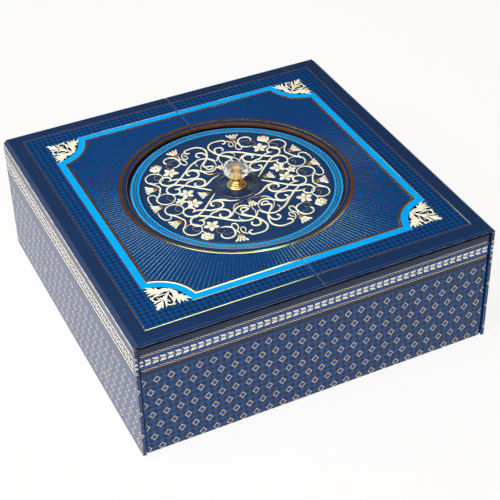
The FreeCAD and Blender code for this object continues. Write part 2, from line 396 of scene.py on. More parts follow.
def wall_material(name, side):
    """Harlequin ground under plain bands; side panels carry it round their front and back edges."""
    g = Graph(name)
    x, y, z = g.axes()
    wave = g.wobble()
    if side:
        along = g.plus(y, g.minus(g.math("ABSOLUTE", x), SIDE_X))
        first = SIDE_FIRST - WALL_ROW
    else:
        along = x
        first = WALL_FIRST
    u = g.plus(along, wave)
    v = g.minus(g.plus(z, wave), first)
    checker = g.checker(u, v, WALL_PITCH, WALL_ROW)
    colour = g.mix(checker, CHECK_DARK, CHECK_BLUE)
    plain = g.above(z, BAND_TOP)
    colour = g.mix(plain, colour, BAND)
    blue = g.between(z, ROPE_LOW + 1.5, ROPE_HIGH - 1.4)
    colour = g.mix(blue, colour, CHECK_BLUE)
    bottom = g.times(g.below(z, 0.7, 0.4), 0.3)
    far_x = g.math("ABSOLUTE", x)
    far_y = g.math("ABSOLUTE", y)
    if side:
        corner = g.times(g.above(far_y, SIDE_Y - 0.5, 0.3), g.above(far_x, SIDE_X - 0.5, 0.3))
        fold = g.above(z, FOLD_Z, 0.5)
    else:
        corner = g.times(g.above(far_x, WALL_X - 0.4, 0.2), 0.3)
        fold = g.times(g.above(z, WALL_TOP - 0.3, 0.2), 0.1)
        # Painted shadow: the front and back walls' top edge is coloured near-black, as shade under the
        # doors' overhang
        colour = g.mix(g.below(far_y, -FRONT_Y - 0.12, 0.06), colour, PAINTED_GAP_SHADOW)
    edges = g.most(g.times(corner, 0.5), g.times(fold, 0.6))
    wear = g.most(bottom, edges)
    if side:
        for at_y, at_z, size in SCUFFS:
            dy = g.math("DIVIDE", g.minus(y, at_y), size)
            dz = g.math("DIVIDE", g.minus(z, at_z), size * 1.5)
            near = g.length(dy, dz)
            spot = g.times(g.ramp(near, 0.4, 1.0, 0.8, 0.0), g.below(x, 0.0))
            wear = g.most(wear, spot)
    paper_finish(g, colour, wear, rough=0.22, gloss_level=0.5 if side else 0.33)
    return g.material


def foil_material(name, colour, deep, rough, metal, relief=0.12):
    """Hot-stamped foil: fine grain, thin rubbed patches and soft unevenness."""
    g = Graph(name)
    grain = g.noise(scale=1800.0, detail=3.0)
    patch = g.noise(scale=70.0, detail=4.0)
    tint = g.mix(g.ramp(patch, 0.35, 0.75), colour, deep)
    tint = g.mix(g.times(g.ramp(grain, 0.55, 0.8), 0.35), tint, deep)
    g.set("Base Color", tint)
    g.set("Roughness", g.ramp(grain, 0.3, 0.7, rough - 0.05, rough + 0.07))
    g.set("Metallic", metal)
    g.set("Normal", g.bump(g.plus(grain, patch), relief))
    return g.material


def base_tiers(g, z):
    """Place within a tier of the knob's base, 0 at its foot and 1 at its top, and a mask of the tiers."""
    step = g.math("DIVIDE", g.minus(z, LID_Z), TIER_H)
    return g.math("FRACT", step), g.below(step, TIERS - 0.02, 0.02)


def turned_normal(g):
    """Normal of a surface turned about the lid's axis: without facets, and each tier a bead."""
    x, y, z = g.axes()
    radius = g.length(x, y)
    split = g.add("ShaderNodeSeparateXYZ")
    g.feed(split.inputs[0], g.add("ShaderNodeNewGeometry").outputs["Normal"])
    share, tiers = base_tiers(g, z)
    bead = g.ramp(share, 0.0, 1.0, -0.45, 0.92)
    bead = g.plus(g.times(bead, tiers), g.minus(tiers, 1.0))
    up = g.most(split.outputs[2], bead)
    level = g.math("SQRT", g.most(g.minus(1.0, g.times(up, up)), 0.0))
    outward = g.math("DIVIDE", level, g.most(radius, 0.01))
    normal = g.add("ShaderNodeCombineXYZ")
    g.feed(normal.inputs[0], g.times(x, outward))
    g.feed(normal.inputs[1], g.times(y, outward))
    g.feed(normal.inputs[2], up)
    return normal.outputs[0]


def brass_material():
    g = Graph("polished_brass")
    turned = g.noise(scale=900.0, detail=2.0, roughness=0.5, vector=g.scaled(0.12, 0.12, 1.0))
    tarnish = g.noise(scale=260.0, detail=4.0)
    colour = g.mix(g.ramp(tarnish, 0.42, 0.78), srgb(252, 236, 170), srgb(236, 204, 120))
    share, tiers = base_tiers(g, g.axes()[2])
    # Painted shade: the foot of each tier of the knob's base is darkened to brown, where the groove under
    # the rim above lies in shade
    groove_shade = g.times(g.below(share, 0.3, 0.2), tiers)
    colour = g.mix(g.times(groove_shade, 0.8), colour, srgb(120, 76, 22))
    g.set("Base Color", colour)
    g.set("Metallic", 1.0)
    g.set("Roughness", g.ramp(turned, 0.3, 0.7, 0.20, 0.28))
    g.set("Normal", g.bump(turned, strength=0.10, normal=turned_normal(g)))
    return g.material


def crystal_material():
    g = Graph("cut_crystal")
    smear = g.noise(scale=120.0, detail=3.0)
    g.set("Base Color", (0.97, 0.98, 1.0, 1.0))
    g.set("Transmission Weight", 0.87)
    g.set("IOR", 1.49)
    g.set("Roughness", g.ramp(smear, 0.35, 0.8, 0.0, 0.05))
    return g.material


def steel_material():
    g = Graph("zinc_steel")
    spangle = g.noise(scale=500.0, detail=3.0)
    g.set("Base Color", g.mix(spangle, srgb(168, 172, 178), srgb(206, 208, 212)))
    g.set("Metallic", 1.0)
    g.set("Roughness", g.ramp(spangle, 0.3, 0.7, 0.26, 0.42))
    g.set("Normal", g.bump(spangle, strength=0.1))
    return g.material


def board_material():
    g = Graph("grey_board")
    fleck = g.noise(scale=1500.0, detail=4.0, roughness=0.7)
    pulp = g.noise(scale=180.0, detail=4.0)
    colour = g.mix(g.ramp(fleck, 0.35, 0.7), srgb(150, 144, 134), srgb(190, 184, 172))
    colour = g.mix(g.times(g.ramp(pulp, 0.6, 0.8), 0.4), colour, srgb(112, 106, 98))
    g.set("Base Color", colour)
    g.set("Roughness", 0.92)
    g.set("Normal", g.bump(fleck, strength=0.35, distance=0.0003))
    return g.material


def lining_material(name, base, fleck_colour):
    """Plain uncoated lining paper with a laid texture of fine parallel lines."""
    g = Graph(name)
    laid = g.add("ShaderNodeTexWave", wave_type="BANDS", bands_direction="DIAGONAL")
    g.feed(laid.inputs["Vector"], g.coord)
    laid.inputs["Scale"].default_value = 420.0
    laid.inputs["Distortion"].default_value = 1.2
    fibre = g.noise(scale=1300.0, detail=4.0)
    colour = g.mix(g.ramp(fibre, 0.3, 0.75), base, fleck_colour)
    g.set("Base Color", colour)
    g.set("Roughness", g.ramp(fibre, 0.3, 0.7, 0.66, 0.82))
    g.set("Normal", g.bump(g.plus(laid.outputs["Fac"], fibre), strength=0.16, distance=0.0002))
    return g.material


TOP_PAPER = top_material("printed_paper_top", gloss_level=0.025)
FOLD_PAPER = top_material("printed_paper_fold", gloss_level=0.34)
LID_PAPER = lid_material()
WALL_PAPER = wall_material("printed_paper_wall", side=False)
SIDE_PAPER = wall_material("printed_paper_side", side=True)
# Foils as name, colour, rubbed colour, roughness, share of metal and relief
DARK_FOIL = foil_material("gold_foil", srgb(198, 194, 144), srgb(180, 170, 114), 0.10, 1.0, 0.03)
RAY_FOIL = foil_material("ray_gold_foil", srgb(142, 148, 118), srgb(122, 126, 98), 0.13, 1.0, 0.02)
GLINT_FOIL = foil_material("glint_gold_foil", srgb(100, 112, 116), srgb(84, 96, 102), 0.13, 1.0, 0.02)
EDGE_FOIL = foil_material("edge_gold_foil", srgb(150, 96, 52), srgb(112, 66, 32), 0.42, 0.5)
LATTICE_FOIL = foil_material("lattice_bronze_foil", srgb(98, 90, 66), srgb(76, 68, 52), 0.13, 1.0, 0.03)
GILT = foil_material("gilt_bore", srgb(255, 206, 84), srgb(232, 170, 56), 0.30, 0.35)
PALE_FOIL = foil_material("pale_gold_foil", srgb(250, 254, 236), srgb(246, 250, 222), 0.36, 0.1)
CHAIN_FOIL = foil_material("chain_gold_foil", srgb(255, 255, 236), srgb(248, 246, 214), 0.30, 0.45)
WALL_FOIL = foil_material("wall_gold_foil", srgb(255, 238, 212), srgb(240, 218, 186), 0.26, 0.8)
SIDE_FOIL = foil_material("side_gold_foil", srgb(255, 242, 216), srgb(250, 228, 196), 0.24, 0.8)
CUP_FOIL = foil_material("cup_gold_foil", srgb(178, 144, 72), srgb(126, 96, 38), 0.30, 0.6)
BRASS = brass_material()
CRYSTAL = crystal_material()
STEEL = steel_material()
BOARD = board_material()
LINING = lining_material("lining_paper", srgb(24, 44, 92), srgb(34, 58, 110))
# A darker copy of the lining paper for the deck: painted shade for its place under the doors
SHADOW_LINING = lining_material("shelf_paper_painted_shade", srgb(18, 34, 76), srgb(26, 46, 92))


# Relief print as thin geometry
class Relief:
    """Collects closed solids that stand a little proud of one printed face."""

    def __init__(self, place):
        self.place = place
        self.verts = []
        self.faces = []
        self.smooth = []
        self.count = 0

    def add(self, points, faces, smooth):
        """points are rows of (u, v, height) on the printed face."""
        self.verts.append(np.asarray(self.place(*np.asarray(points, float).T)).T)
        self.faces.extend([tuple(k + self.count for k in f) for f in faces])
        self.smooth.extend([smooth] * len(faces))
        self.count += len(points)

    def make(self, name, material, body):
        mesh = bpy.data.meshes.new(name)
        mesh.from_pydata((np.concatenate(self.verts) * MM).tolist(), [], self.faces)
        mesh.polygons.foreach_set("use_smooth", self.smooth)
        mesh.materials.append(material)
        mesh.update()
        obj = bpy.data.objects.new(name, mesh)
        bpy.context.scene.collection.objects.link(obj)
        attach(obj, body)


def on_top(u, v, h):
    return u, v + PRINT_Y, TOP_Z + h


def on_rim(u, v, h):
    return u, v, TOP_Z - RIM_DROP + h


def on_lid(u, v, h):
    return u, v, LID_Z + h


def on_front(u, v, h):
    return u, FRONT_Y - h, v


def on_back(u, v, h):
    return -u, -FRONT_Y + h, v


def on_left(u, v, h):
    return -SIDE_X - h, -u, v


def on_right(u, v, h):
    return SIDE_X + h, u, v


def on_edge(sx, sy):
    """The front (sy -1) or back (sy 1) edge of the left (sx -1) or right (sx 1) side panel."""

    def place(u, v, h):
        return sx * (STRIP_X - u), sy * (SIDE_Y + h), v

    return place


def section(*left):
    """A ribbon's section as (across, height), from its left half; a point at 0 is its middle."""
    right = [(-a, b) for a, b in reversed(left) if a != 0]
    return np.array(list(left) + right, float)


FLAT = section((-1, 0), (-1, 1))
TENT = section((-1, 0), (-1, 0.5), (0, 1))
BEVEL = section((-1, 0), (-1, 0.1), (-0.2, 1))
EDGED = section((-1, 0), (-1, 0.1), (-0.6, 1))
ROUND = section((-1, 0), (-0.92, 0.45), (-0.55, 0.88), (0, 1))
RIDGED = section((-1, 0), (-0.9, 0.55), (-0.5, 0.85), (-0.12, 0.62), (0, 1))

# Rings of a pad from its rim inwards as (share of the outline, share of the height), and its middle's height
PAD_RINGS = ((1.0, 0.35), (0.78, 0.7), (0.42, 1.0))
PAD_MIDDLE = 0.96
# Limits for the length of a step and for the sharpness of a mitre
TINY = 1e-9
LEAST_MITRE = 0.5


def unit(vectors):
    return vectors / np.maximum(np.linalg.norm(vectors, axis=1), TINY)[:, None]


def ribbon(relief, path, width, height, profile=FLAT, closed=False):
    """A strip of a given section along a path, with mitred corners; width and height may vary along it."""
    p = np.asarray(path, float)
    n = len(p)
    width = np.broadcast_to(np.asarray(width, float), (n,))
    height = np.broadcast_to(np.asarray(height, float), (n,))
    step = unit(np.roll(p, -1, 0) - p)
    before = np.roll(step, 1, 0)
    if not closed:
        step[-1] = before[-1]
        before[0] = step[0]
    na = np.stack([-before[:, 1], before[:, 0]], 1)
    nb = np.stack([-step[:, 1], step[:, 0]], 1)
    normal = unit(na + nb)
    reach = 1 / np.maximum((normal * nb).sum(1), LEAST_MITRE)
    m = len(profile)
    across = -profile[None, :, 0] * (width / 2 * reach)[:, None]
    xy = p[:, None, :] + normal[:, None, :] * across[..., None]
    h = np.where(profile[None, :, 1] > 0, profile[None, :, 1] * height[:, None], -SINK)
    points = np.concatenate([xy, h[..., None]], 2).reshape(-1, 3)
    faces = []
    for i in range(n if closed else n - 1):
        j = (i + 1) % n
        for k in range(m):
            q = (k + 1) % m
            faces.append((i * m + k, j * m + k, j * m + q, i * m + q))
    if not closed:
        faces.append(tuple(range(m)))
        faces.append(tuple((n - 1) * m + k for k in reversed(range(m))))
    relief.add(points, faces, m > len(BEVEL))


def pillow(relief, outline, centre, height):
    """A puffed pad inside an outline that the centre can see all of."""
    o = np.asarray(outline, float)
    c = np.asarray(centre, float)
    a = o - c
    b = np.roll(a, -1, 0)
    if (a[:, 0] * b[:, 1] - a[:, 1] * b[:, 0]).sum() < 0:
        o = o[::-1]
    n = len(o)
    rings = [(1.0, -SINK)] + [(share, height * rise) for share, rise in PAD_RINGS]
    points = [np.column_stack([c + (o - c) * share, np.full(n, h)]) for share, h in rings]
    points.append(np.array([[c[0], c[1], height * PAD_MIDDLE]]))
    faces = [tuple(reversed(range(n)))]
    for r in range(len(rings) - 1):
        for k in range(n):
            q = (k + 1) % n
            faces.append((r * n + k, r * n + q, (r + 1) * n + q, (r + 1) * n + k))
    top = (len(rings) - 1) * n
    for k in range(n):
        faces.append((top + k, top + (k + 1) % n, top + n))
    relief.add(np.concatenate(points), faces, True)


def smooth(points, step=COARSE):
    """A smooth curve through the points, sampled at even steps."""
    p = np.asarray(points, float)
    ends = np.concatenate([[2 * p[0] - p[1]], p, [2 * p[-1] - p[-2]]])
    t = np.linspace(0, 1, 14, endpoint=False)[:, None]
    parts = []
    for k in range(len(p) - 1):
        a, b, c, d = ends[k:k + 4]
        square = (2 * a - 5 * b + 4 * c - d) * t ** 2
        cube = (3 * b - a - 3 * c + d) * t ** 3
        parts.append(0.5 * (2 * b + (c - a) * t + square + cube))
    dense = np.concatenate(parts + [p[-1:]])
    run = np.concatenate([[0], np.cumsum(np.linalg.norm(np.diff(dense, axis=0), axis=1))])
    count = max(4, int(run[-1] / step))
    s = np.linspace(0, run[-1], count)
    return np.column_stack([np.interp(s, run, dense[:, 0]), np.interp(s, run, dense[:, 1])])


def curl(cx, cy, r0, r1, a0, a1, hold=2.5):
    """Points of a scroll about a centre, its radius closing from r0 to r1; angles in degrees."""
    count = max(5, int(abs(a1 - a0) / 24))
    t = np.linspace(0, 1, count)
    a = np.radians(a0 + (a1 - a0) * t)
    r = r1 + (r0 - r1) * (1 - t ** hold)
    return list(zip(cx + r * np.cos(a), cy + r * np.sin(a)))


def arc(cx, cy, r, a0, a1, count):
    a = np.radians(np.linspace(a0, a1, count))
    return list(zip(cx + r * np.cos(a), cy + r * np.sin(a)))


def flip(points, sx, sy):
    return [(sx * u, sy * v) for u, v in points]


def polar(centre, radius, angle):
    return centre[0] + radius * math.cos(angle), centre[1] + radius * math.sin(angle)


def spoke(angle, start, end):
    return [polar((0, 0), radius, angle) for radius in (start, end)]


def full_turn(count):
    return np.linspace(0, 2 * np.pi, count, endpoint=False)


def around_middle(radius, angles):
    return np.column_stack([radius * np.cos(angles), radius * np.sin(angles)])


# Ways of swelling along a path as (places, shares of the width)
SPIKE = ((0, 0.3, 0.6, 0.85, 1), (0.5, 0.9, 1.0, 0.6, 0.12))
VINE = ((0, 0.25, 0.75, 1), (0.4, 1.0, 1.0, 0.45))
SWELL = ((0, 0.12, 0.5, 0.88, 0.97, 1), (0.5, 0.85, 1.0, 0.8, 0.95, 0.5))
TAPER = ((0, 0.3, 0.7, 1), (1.0, 1.0, 0.7, 0.3))
THIN = ((0, 0.1, 0.9, 1), (0.6, 1.0, 1.0, 0.5))
LEAFY = ((0, 0.35, 0.75, 1), (0.6, 1.0, 0.7, 0.2))
FLUTE = ((0, 0.55, 0.88, 1), (0.15, 0.26, 0.40, 0.12))


def shares(path, swell):
    return np.interp(np.linspace(0, 1, len(path)), *swell)


def tapered(relief, points, width, height, profile, swell):
    path = smooth(points, FINE)
    share = shares(path, swell)
    ribbon(relief, path, width * share, height * (0.5 + 0.5 * share), profile)


# Top of the doors
def border_reach(angle):
    """How far a ray from the middle runs before the line inside the sky-blue border."""
    line = BORDER_IN - INNER_LINE
    c, s = abs(math.cos(angle)), abs(math.sin(angle))
    reach = line / max(c, s)
    notch = NOTCH_OUT + INNER_LINE
    b = BORDER_OUT * (c + s)
    disc = b * b - (2 * BORDER_OUT ** 2 - notch ** 2)
    if disc > 0:
        reach = min(reach, b - math.sqrt(disc))
    return reach


def inner_border_path(side):
    """The line inside the border on one door, from the seam at the back to the seam at the front."""
    line = BORDER_IN - INNER_LINE / 2
    notch = NOTCH_OUT + INNER_LINE / 2
    spread = math.degrees(math.asin((BORDER_OUT - line) / notch))
    points = [(DOOR_EDGE, line)]
    points += arc(BORDER_OUT, BORDER_OUT, notch, 180 + spread, 270 - spread, NOTCH_POINTS)
    points += arc(BORDER_OUT, -BORDER_OUT, notch, 90 + spread, 180 - spread, NOTCH_POINTS)
    points.append((DOOR_EDGE, -line))
    return flip(points, side, 1)


def half_circle(side, radius, inset=0.0):
    """Half of a circle on one door, cut short at the seam."""
    gap = math.degrees(math.asin(DOOR_EDGE / radius))
    return flip(arc(0, 0, radius - inset, 90 - gap, -90 + gap, HALF_POINTS), side, 1)


# Corner piece as (points, width), drawn with its mirror; points run inwards from the border's outer corner
LEAF_LOBES = [
    ([(16.2, 16.8), (11.6, 18.8), (7.0, 21.8), (2.4, 26.8)], 3.4),
    ([(13.0, 17.6), (9.0, 16.9), (4.4, 15.6)], 2.2),
    ([(11.2, 18.6), (6.0, 18.6), (0.5, 17.6)], 2.9),
    ([(9.0, 20.0), (4.4, 20.6), (0.9, 20.7)], 2.3),
    ([(7.6, 21.2), (3.8, 22.4), (0.3, 23.6)], 2.3),
    ([(9.6, 20.0), (8.8, 21.9), (9.0, 23.9)], 1.9),
    ([(7.2, 21.6), (6.2, 23.4), (5.8, 25.4)], 1.9),
    ([(16.9, 17.0), (15.2, 19.0), (12.4, 20.5), (11.2, 19.7)], 2.0),
    ([(16.6, 17.0), (17.2, 18.0), (16.6, 19.2)], 1.5),
]
CORNER_VINES = [
    ([(13.2, 14.2), (9.6, 14.8), (6.2, 14.9)] + curl(5.0, 11.8, 3.1, 0.8, 95, 430, 1.6), 1.45),
    ([(9.6, 9.4), (6.4, 9.6), (3.6, 8.9), (1.4, 8.0)], 1.7),
    ([(8.4, 8.0), (5.2, 6.6), (1.2, 5.2)], 1.9),
    ([(7.6, 7.0), (4.6, 3.6), (1.3, 0.7)], 1.9),
    ([(12.4, 12.8), (10.4, 11.8), (8.6, 10.6), (7.8, 12.6)], 1.4),
    ([(14.6, 13.8), (12.6, 12.2), (10.6, 9.4)], 1.7),
    ([(2.2, 12.6), (1.5, 14.2), (2.4, 15.4)], 1.1),
]
CORNER_RIB = [(15.8, 15.8), (12.8, 12.8), (9.4, 9.4)]
CORNER_SLIM = 0.80


def corner_leaves(relief, sx, sy):
    """Acanthus corner piece: two lobed leaves along the notch, scrolls behind them and a palmette."""

    def at(points):
        return [(sx * (BORDER_OUT - p), sy * (BORDER_OUT - q)) for p, q in points]

    kinds = ((LEAF_LOBES, 0.34, RIDGED, SPIKE), (CORNER_VINES, 0.30, ROUND, VINE))
    for pieces, height, profile, swell in kinds:
        for points, width in pieces:
            for spine in (points, [(q, p) for p, q in points]):
                tapered(relief, at(spine), width * CORNER_SLIM, height, profile, swell)
    tapered(relief, at(CORNER_RIB), 1.6, 0.36, RIDGED, VINE)


def door_print(side, door):
    """Gold lines, ring, rays and corner pieces of the left (side -1) or right (side 1) door."""

    def at(*points):
        return flip(points, side, 1)

    lines = Relief(on_top)
    square = at((DOOR_EDGE, SQUARE), (SQUARE, SQUARE), (SQUARE, -SQUARE), (DOOR_EDGE, -SQUARE))
    ribbon(lines, square, *SQUARE_LINE, BEVEL)
    ribbon(lines, inner_border_path(side), *BORDER_LINE, BEVEL)
    outer = BORDER_OUT + OUTER_GAP
    stop = BORDER_OUT - NOTCH_IN - OUTER_STOP
    for y in (outer, -outer):
        ribbon(lines, at((DOOR_EDGE, y), (stop, y)), *OUTER_LINE, BEVEL)
    ribbon(lines, at((outer, stop), (outer, -stop)), *OUTER_LINE, BEVEL)
    ribbon(lines, half_circle(side, (RING_IN + RING_OUT) / 2), *RING_LINE, EDGED)
    lines.make(door + "_gold_lines", DARK_FOIL, door)
    bead = Relief(on_rim)
    ribbon(bead, half_circle(side, HOLE_R, BEAD_INSET), *CUTOUT_BEAD, ROUND)
    bead.make(door + "_cutout_bead", EDGE_FOIL, door)
    rays = Relief(on_top)
    start = RING_OUT + RAY_GAP
    for k in range(RAYS):
        a = 2 * math.pi * (k + 0.5) / RAYS
        if start * math.cos(a) * side >= SEAM + RAY_GAP:
            ribbon(rays, spoke(a, start, border_reach(a) - RAY_GAP), *DOOR_RAY, TENT)
    rays.make(door + "_gold_rays", RAY_FOIL, door)
    leaves = Relief(on_top)
    for sy in (1, -1):
        corner_leaves(leaves, side, sy)
    leaves.make(door + "_corner_leaves", PALE_FOIL, door)


door_print(-1, "left_door")
door_print(1, "right_door")


# Lid: scrolls and stems of one quarter of the medallion as (points, width, way of swelling)
QUARTER = [
    ([(19.8, 2.6), (27.0, 9.6), (35.4, 17.6), (40.6, 21.2)]
     + curl(44.4, 29.7, 6.9, 1.7, -100, 196, 2.2), 1.75, SWELL),
    ([(0.4, 36.8), (2.4, 40.4), (6.2, 43.9), (12.2, 44.6), (20.6, 40.4), (28.0, 33.8), (35.4, 27.2)]
     + [(40.6, 23.6)] + curl(44.4, 15.1, 6.9, 1.7, 100, -196, 2.2), 1.85, SWELL),
    ([(44.4, 16.6), (40.4, 16.2), (35.6, 17.8), (31.4, 20.6)]
     + curl(25.2, 15.9, 5.9, 1.5, 66, 395, 2.8), 1.85, SWELL),
    ([(44.2, 28.4), (40.4, 28.6), (35.6, 27.0), (31.4, 24.3)]
     + curl(25.0, 29.1, 5.9, 1.5, -66, -395, 2.8), 1.85, SWELL),
    ([(24.6, 10.2), (20.6, 11.0), (17.0, 13.4), (13.0, 16.2), (9.0, 17.8), (6.6, 18.1)], 1.9, LEAFY),
    ([(24.6, 34.9), (20.4, 33.6), (16.2, 29.4), (12.8, 26.7), (9.2, 25.8), (6.2, 26.8), (4.6, 28.8)],
     1.7, SWELL),
    (curl(9.2, 31.4, 1.6, 3.4, 100, -190, 1.0) + [(12.0, 34.2), (10.2, 38.2), (6.4, 42.4), (3.4, 47.2)]
     + curl(9.4, 54.4, 7.8, 7.9, 188, 88, 1.0) + curl(14.6, 58.4, 3.4, 1.4, 70, -110, 1.4), 1.75, SWELL),
    ([(9.4, 22.4), (13.0, 23.2), (15.6, 27.4), (15.3, 33.0), (12.0, 38.2), (7.2, 41.8), (5.0, 43.0)],
     0.75, THIN),
    ([(2.8, 31.0), (2.1, 35.0), (3.0, 39.4), (5.2, 42.8)], 0.7, THIN),
    ([(4.6, 44.6), (4.2, 48.4)] + curl(8.6, 49.6, 4.1, 2.0, 150, -60, 1.6), 1.7, SWELL),
    ([(54.3, 22.0), (55.8, 18.2), (58.4, 14.4)] + curl(55.2, 8.0, 7.1, 5.9, 38, -335, 3.0), 1.3, TAPER),
    ([(67.6, 5.4), (68.2, 10.2), (67.0, 15.2), (64.4, 17.3), (61.6, 16.4), (60.8, 14.0)], 1.15, SWELL),
    ([(54.2, 20.8), (53.6, 23.8), (54.8, 27.4)] + curl(52.8, 36.3, 7.0, 5.8, -52, 330, 3.0), 1.25, TAPER),
    ([(47.9, 41.0), (46.8, 43.0), (45.8, 45.2)], 0.9, THIN),
    (curl(33.0, 50.8, 7.2, 7.4, -84, -160, 1.0) + curl(33.2, 51.6, 6.9, 3.2, 165, -10, 2.4), 1.6, SWELL),
    ([(24.6, 57.2), (24.2, 54.6), (25.2, 52.2), (26.2, 48.2), (25.4, 44.4), (23.4, 43.2), (21.6, 45.2),
      (22.0, 48.8), (24.4, 52.6)], 1.05, THIN),
    ([(16.8, 59.4), (20.0, 58.2), (21.9, 55.2), (21.6, 51.8), (19.8, 50.0), (18.2, 51.4), (18.4, 54.0),
      (20.2, 56.4)], 0.9, THIN),
    ([(13.4, 43.8), (15.6, 42.0), (16.6, 39.4), (15.6, 37.0)], 0.6, THIN),
]
# Thin gold tendrils inside the scrolls as (points, width)
TENDRILS = [
    ([(50.2, 2.8), (53.0, 5.2), (54.6, 8.2), (53.8, 10.6), (52.3, 9.8)], 0.7),
    ([(48.6, 40.4), (51.6, 38.8), (52.9, 36.0), (51.8, 33.8), (50.4, 34.8)], 0.7),
    (curl(35.0, 47.2, 3.7, 2.2, -100, 160, 1.6), 0.7),
    ([(34.2, 51.4), (33.0, 53.0), (30.6, 52.6), (28.0, 53.2)], 0.6),
    (curl(44.4, 29.7, 2.6, 1.2, 150, 330, 1.0), 0.55),
    (curl(25.2, 15.9, 3.2, 1.6, 100, 300, 1.0), 0.55),
]
SCROLL_LEAF = [(13.6, 22.6), (10.4, 21.4), (7.0, 21.6), (4.0, 20.2)]
AXIS_LEAF = [(41.4, 0), (38.6, 0.3), (36.2, 0)]
# Bells as (calyx, middle of the mouth, half width of the mouth), blossoms as (centre, size, turn)
BELLS = [((24.6, 57.6), (26.6, 65.6), 5.0), ((57.0, 23.2), (65.0, 24.8), 5.2)]
AXIS_BELLS = [((62.0, 0), (69.8, 0), 5.0), ((23.8, 0), (31.0, 0), 4.6), ((0, 22.6), (0, 30.4), 4.4)]
BLOSSOMS = [((38.6, 6.9), 5.8, 20), ((38.4, 38.4), 5.8, 65)]
AXIS_BLOSSOM = ((46.2, 0), 4.2, 0)
ROSE = ((46.6, 48.8), 5.4)
# Outlines of a petal and of a bell's cup as shares of their size, (along, across)
PETAL = (
    (0.08, 0.0), (0.34, 0.62), (0.68, 1.0), (0.92, 0.62),
    (1.16, 0.0), (0.92, -0.62), (0.68, -1.0), (0.34, -0.62),
)
PETAL_SPREAD = 0.35
CUP = (
    (-0.18, 0), (-0.08, 0.34), (0.12, 0.52), (0.34, 0.44),
    (0.26, 0), (0.34, -0.44), (0.12, -0.52), (-0.08, -0.34),
)
# Rings of the lid as (radius, width)
RIM_RINGS = ((73.2, 0.5), (76.25, 0.45), (79.2, 0.45))
CENTRE_RINGS = ((19.9, 0.45), (LID_CENTRE_R, 0.85))


def petal(centre, size, angle):
    """Outline of one petal and the point it puffs from."""
    c, s = math.cos(angle), math.sin(angle)
    outline = []
    for along, across in PETAL:
        a = along * size
        b = across * size * PETAL_SPREAD
        outline.append((centre[0] + a * c - b * s, centre[1] + a * s + b * c))
    return outline, polar(centre, 0.62 * size, angle)


def blossom(cream, gold, centre, size, turn, signs):
    """A flower of single petals with gold roots; signs mirror it to its quarter of the lid."""
    centre = np.multiply(centre, signs)
    for k in range(PETALS):
        a = math.radians(turn) + 2 * math.pi * k / PETALS
        a = math.atan2(math.sin(a) * signs[1], math.cos(a) * signs[0])
        outline, middle = petal(centre, size * (0.9 if k % 2 else 1.0), a)
        pillow(cream, outline, middle, FLOWER_H)
        root = [polar(centre, size * r, a) for r in (0.06, 0.25, 0.42)]
        ribbon(gold, root, [0.5, 0.4, 0.15], [0.5, 0.47, 0.44], ROUND)
    pillow(cream, [polar(centre, 0.9, a) for a in full_turn(10)], centre, BUTTON_H)


def rose(cream, gold, centre, size, signs):
    """A rolled rose: a ruffled pad with a spiral fold drawn on it."""
    centre = np.multiply(centre, signs)
    angles = full_turn(30)
    reach = size * (0.84 + 0.07 * np.cos(6 * angles) + 0.08 * np.cos(2 * angles + 1.0))
    pillow(cream, around_middle(reach, angles) * signs + centre, centre, FLOWER_H)
    fold = smooth(curl(0.5, 0.4, size * 0.60, 0.5, 210, -260, 1.3)) * signs + centre
    ribbon(gold, fold, *ROSE_FOLD, ROUND)


def bell(cream, gold, calyx, mouth, half):
    """A bellflower: fluted petals that flare to a toothed mouth, in a small cup."""
    root = np.array(calyx, float)
    axis = np.array(mouth, float) - root
    length = np.linalg.norm(axis)
    axis /= length
    side = np.array([-axis[1], axis[0]])

    def at(along, across):
        return root + axis * length * along + side * half * across

    for k in (-1.5, -0.5, 0.5, 1.5):
        path = smooth([at(0.10, k * 0.20), at(0.58, k * 0.34), at(1.03 - 0.04 * abs(k), k * 0.62)], FINE)
        ribbon(cream, path, shares(path, FLUTE) * half, FLUTE_H, ROUND)
    pillow(gold, [at(*place) for place in CUP], at(0.06, 0), CUP_H)


def stroke(cream, edge, points, width, swell):
    """A raised scroll with a thin gold edge on both sides."""
    path = smooth(points)
    w = shares(path, swell) * (width * 0.92)
    ribbon(edge, path, w + 0.26, 0.03)
    ribbon(cream, path, w, 0.20 + 0.16 * w, ROUND)


scrolls, outlines, flowers, cups = (Relief(on_lid) for _ in range(4))
for sx in (1, -1):
    for sy in (1, -1):
        for points, width, swell in QUARTER:
            stroke(scrolls, outlines, flip(points, sx, sy), width, swell)
        for calyx, mouth, half in BELLS:
            bell(flowers, cups, *flip((calyx, mouth), sx, sy), half)
        for place in BLOSSOMS:
            blossom(flowers, cups, *place, (sx, sy))
        rose(flowers, cups, *ROSE, (sx, sy))
        for points, width in TENDRILS:
            ribbon(cups, smooth(flip(points, sx, sy)), width, TENDRIL_H, ROUND)
        tapered(cups, flip(SCROLL_LEAF, sx, sy), 1.3, 0.3, RIDGED, SPIKE)
for s in (1, -1):
    for calyx, mouth, half in AXIS_BELLS:
        bell(flowers, cups, *flip((calyx, mouth), s, s), half)
    blossom(flowers, cups, *AXIS_BLOSSOM, (s, 1))
    tapered(cups, flip(AXIS_LEAF, s, 1), 1.8, 0.4, RIDGED, SPIKE)
scrolls.make("lid_scrolls", PALE_FOIL, "lid")
outlines.make("lid_scroll_edges", DARK_FOIL, "lid")
flowers.make("lid_flowers", PALE_FOIL, "lid")
cups.make("lid_flower_cups", CUP_FOIL, "lid")

